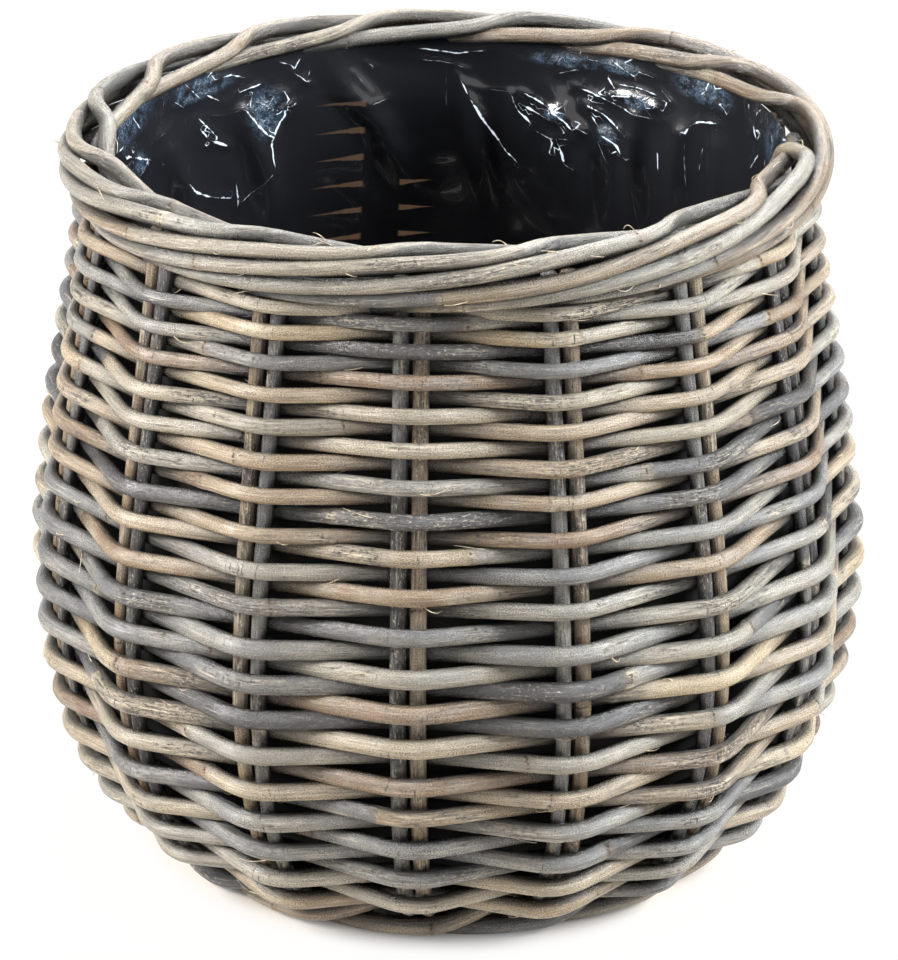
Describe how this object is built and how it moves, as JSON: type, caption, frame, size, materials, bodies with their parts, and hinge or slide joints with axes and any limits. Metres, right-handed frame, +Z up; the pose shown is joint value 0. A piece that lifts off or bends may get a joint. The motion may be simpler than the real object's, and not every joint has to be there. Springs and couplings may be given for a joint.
{
  "type": "rattan planter",
  "caption": "Round rattan basket planter, woven from weavers round paired stakes, with a rolled rope-like border, a tucked-in foot and a dark film liner.",
  "frame": {"origin": "centre of the foot on the floor, under the middle of the bounding box", "axes": "+Z up through the mouth, -Y towards the front that the picture shows, +X to its right"},
  "size_m": [0.4009, 0.401, 0.3543],
  "materials": {
    "stake": "weathered grey and brown rattan, matt",
    "foot_rod": "grey-washed rattan, matt with a soft sheen",
    "weaver": "grey-washed rattan, matt with a soft silvery sheen",
    "base_weaver": "grey-washed rattan, matt",
    "border_rod": "grey-washed rattan, matt with a soft sheen",
    "liner_film": "crumpled glossy black film"
  },
  "bodies": {
    "root": {"stake_01": "stake", "stake_02": "stake", "stake_03": "stake", "stake_04": "stake", "stake_05": "stake", "stake_06": "stake", "stake_07": "stake", "stake_08": "stake", "stake_09": "stake", "stake_10": "stake", "stake_11": "stake", "stake_12": "stake", "stake_13": "stake", "stake_14": "stake", "stake_15": "stake", "stake_16": "stake", "foot_rod_1": "foot_rod", "foot_rod_2": "foot_rod", "foot_rod_3": "foot_rod", "weaver_a_1": "weaver", "weaver_a_2": "weaver", "weaver_a_3": "weaver", "weaver_a_4": "weaver", "weaver_a_5": "weaver", "weaver_a_6": "weaver", "weaver_a_7": "weaver", "weaver_a_8": "weaver", "weaver_a_9": "weaver", "weaver_a_10": "weaver", "weaver_b_1": "weaver", "weaver_b_2": "weaver", "weaver_b_3": "weaver", "weaver_b_4": "weaver", "weaver_b_5": "weaver", "weaver_b_6": "weaver", "weaver_b_7": "weaver", "weaver_b_8": "weaver", "weaver_b_9": "weaver", "weaver_b_10": "weaver", "base_weaver_a": "base_weaver", "base_weaver_b": "base_weaver", "border_rod_01": "border_rod", "border_rod_02": "border_rod", "border_rod_03": "border_rod", "border_rod_04": "border_rod", "border_rod_05": "border_rod", "border_rod_06": "border_rod", "border_rod_07": "border_rod", "border_rod_08": "border_rod", "border_rod_09": "border_rod", "border_rod_10": "border_rod", "border_rod_11": "border_rod", "border_rod_12": "border_rod", "border_rod_13": "border_rod", "border_rod_14": "border_rod", "border_rod_15": "border_rod", "border_rod_16": "border_rod", "liner": "liner_film"}
  },
  "joints": []
}
